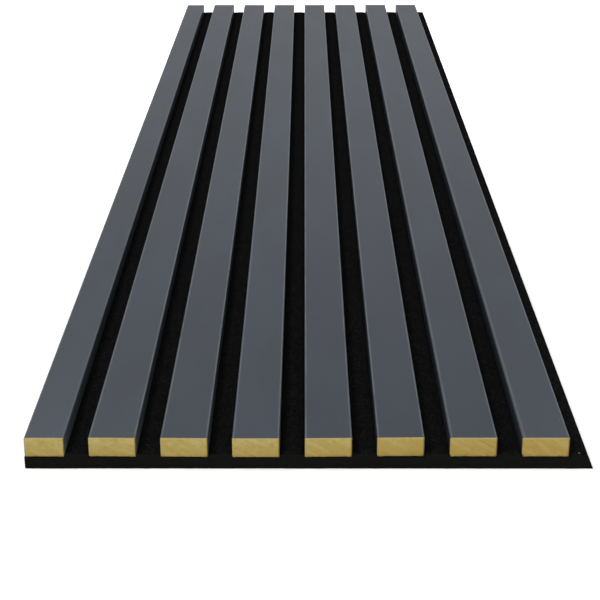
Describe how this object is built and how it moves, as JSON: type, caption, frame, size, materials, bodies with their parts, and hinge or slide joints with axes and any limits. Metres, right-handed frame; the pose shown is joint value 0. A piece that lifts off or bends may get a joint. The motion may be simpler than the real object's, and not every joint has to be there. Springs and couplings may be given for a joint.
{
  "type": "acoustic slat wall panel",
  "caption": "Wall panel of dark foil-wrapped fibreboard slats, evenly spaced on a black felt board that stands out past the last slat as a lap.",
  "frame": {"origin": "the middle of the felt board's back face, which lies on the wall", "axes": "+X across the slats towards the lap, +Y along the slats, +Z out of the wall, from the felt's back to the slats' faces"},
  "size_m": [0.3, 1.2, 0.0179],
  "materials": {
    "felt": "pressed fibre",
    "decor_foil": "matt",
    "fibreboard": "sawn",
    "glue": "hot melt",
    "staple_wire": "galvanised"
  },
  "bodies": {
    "root": {"felt_backing": "felt", "staples": "staple_wire", "slat_core_1": "fibreboard", "slat_foil_1": "decor_foil", "glue_film_1": "glue", "slat_core_2": "fibreboard", "slat_foil_2": "decor_foil", "glue_film_2": "glue", "slat_core_3": "fibreboard", "slat_foil_3": "decor_foil", "glue_film_3": "glue", "slat_core_4": "fibreboard", "slat_foil_4": "decor_foil", "glue_film_4": "glue", "slat_core_5": "fibreboard", "slat_foil_5": "decor_foil", "glue_film_5": "glue", "slat_core_6": "fibreboard", "slat_foil_6": "decor_foil", "glue_film_6": "glue", "slat_core_7": "fibreboard", "slat_foil_7": "decor_foil", "glue_film_7": "glue", "slat_core_8": "fibreboard", "slat_foil_8": "decor_foil", "glue_film_8": "glue"}
  },
  "joints": []
}
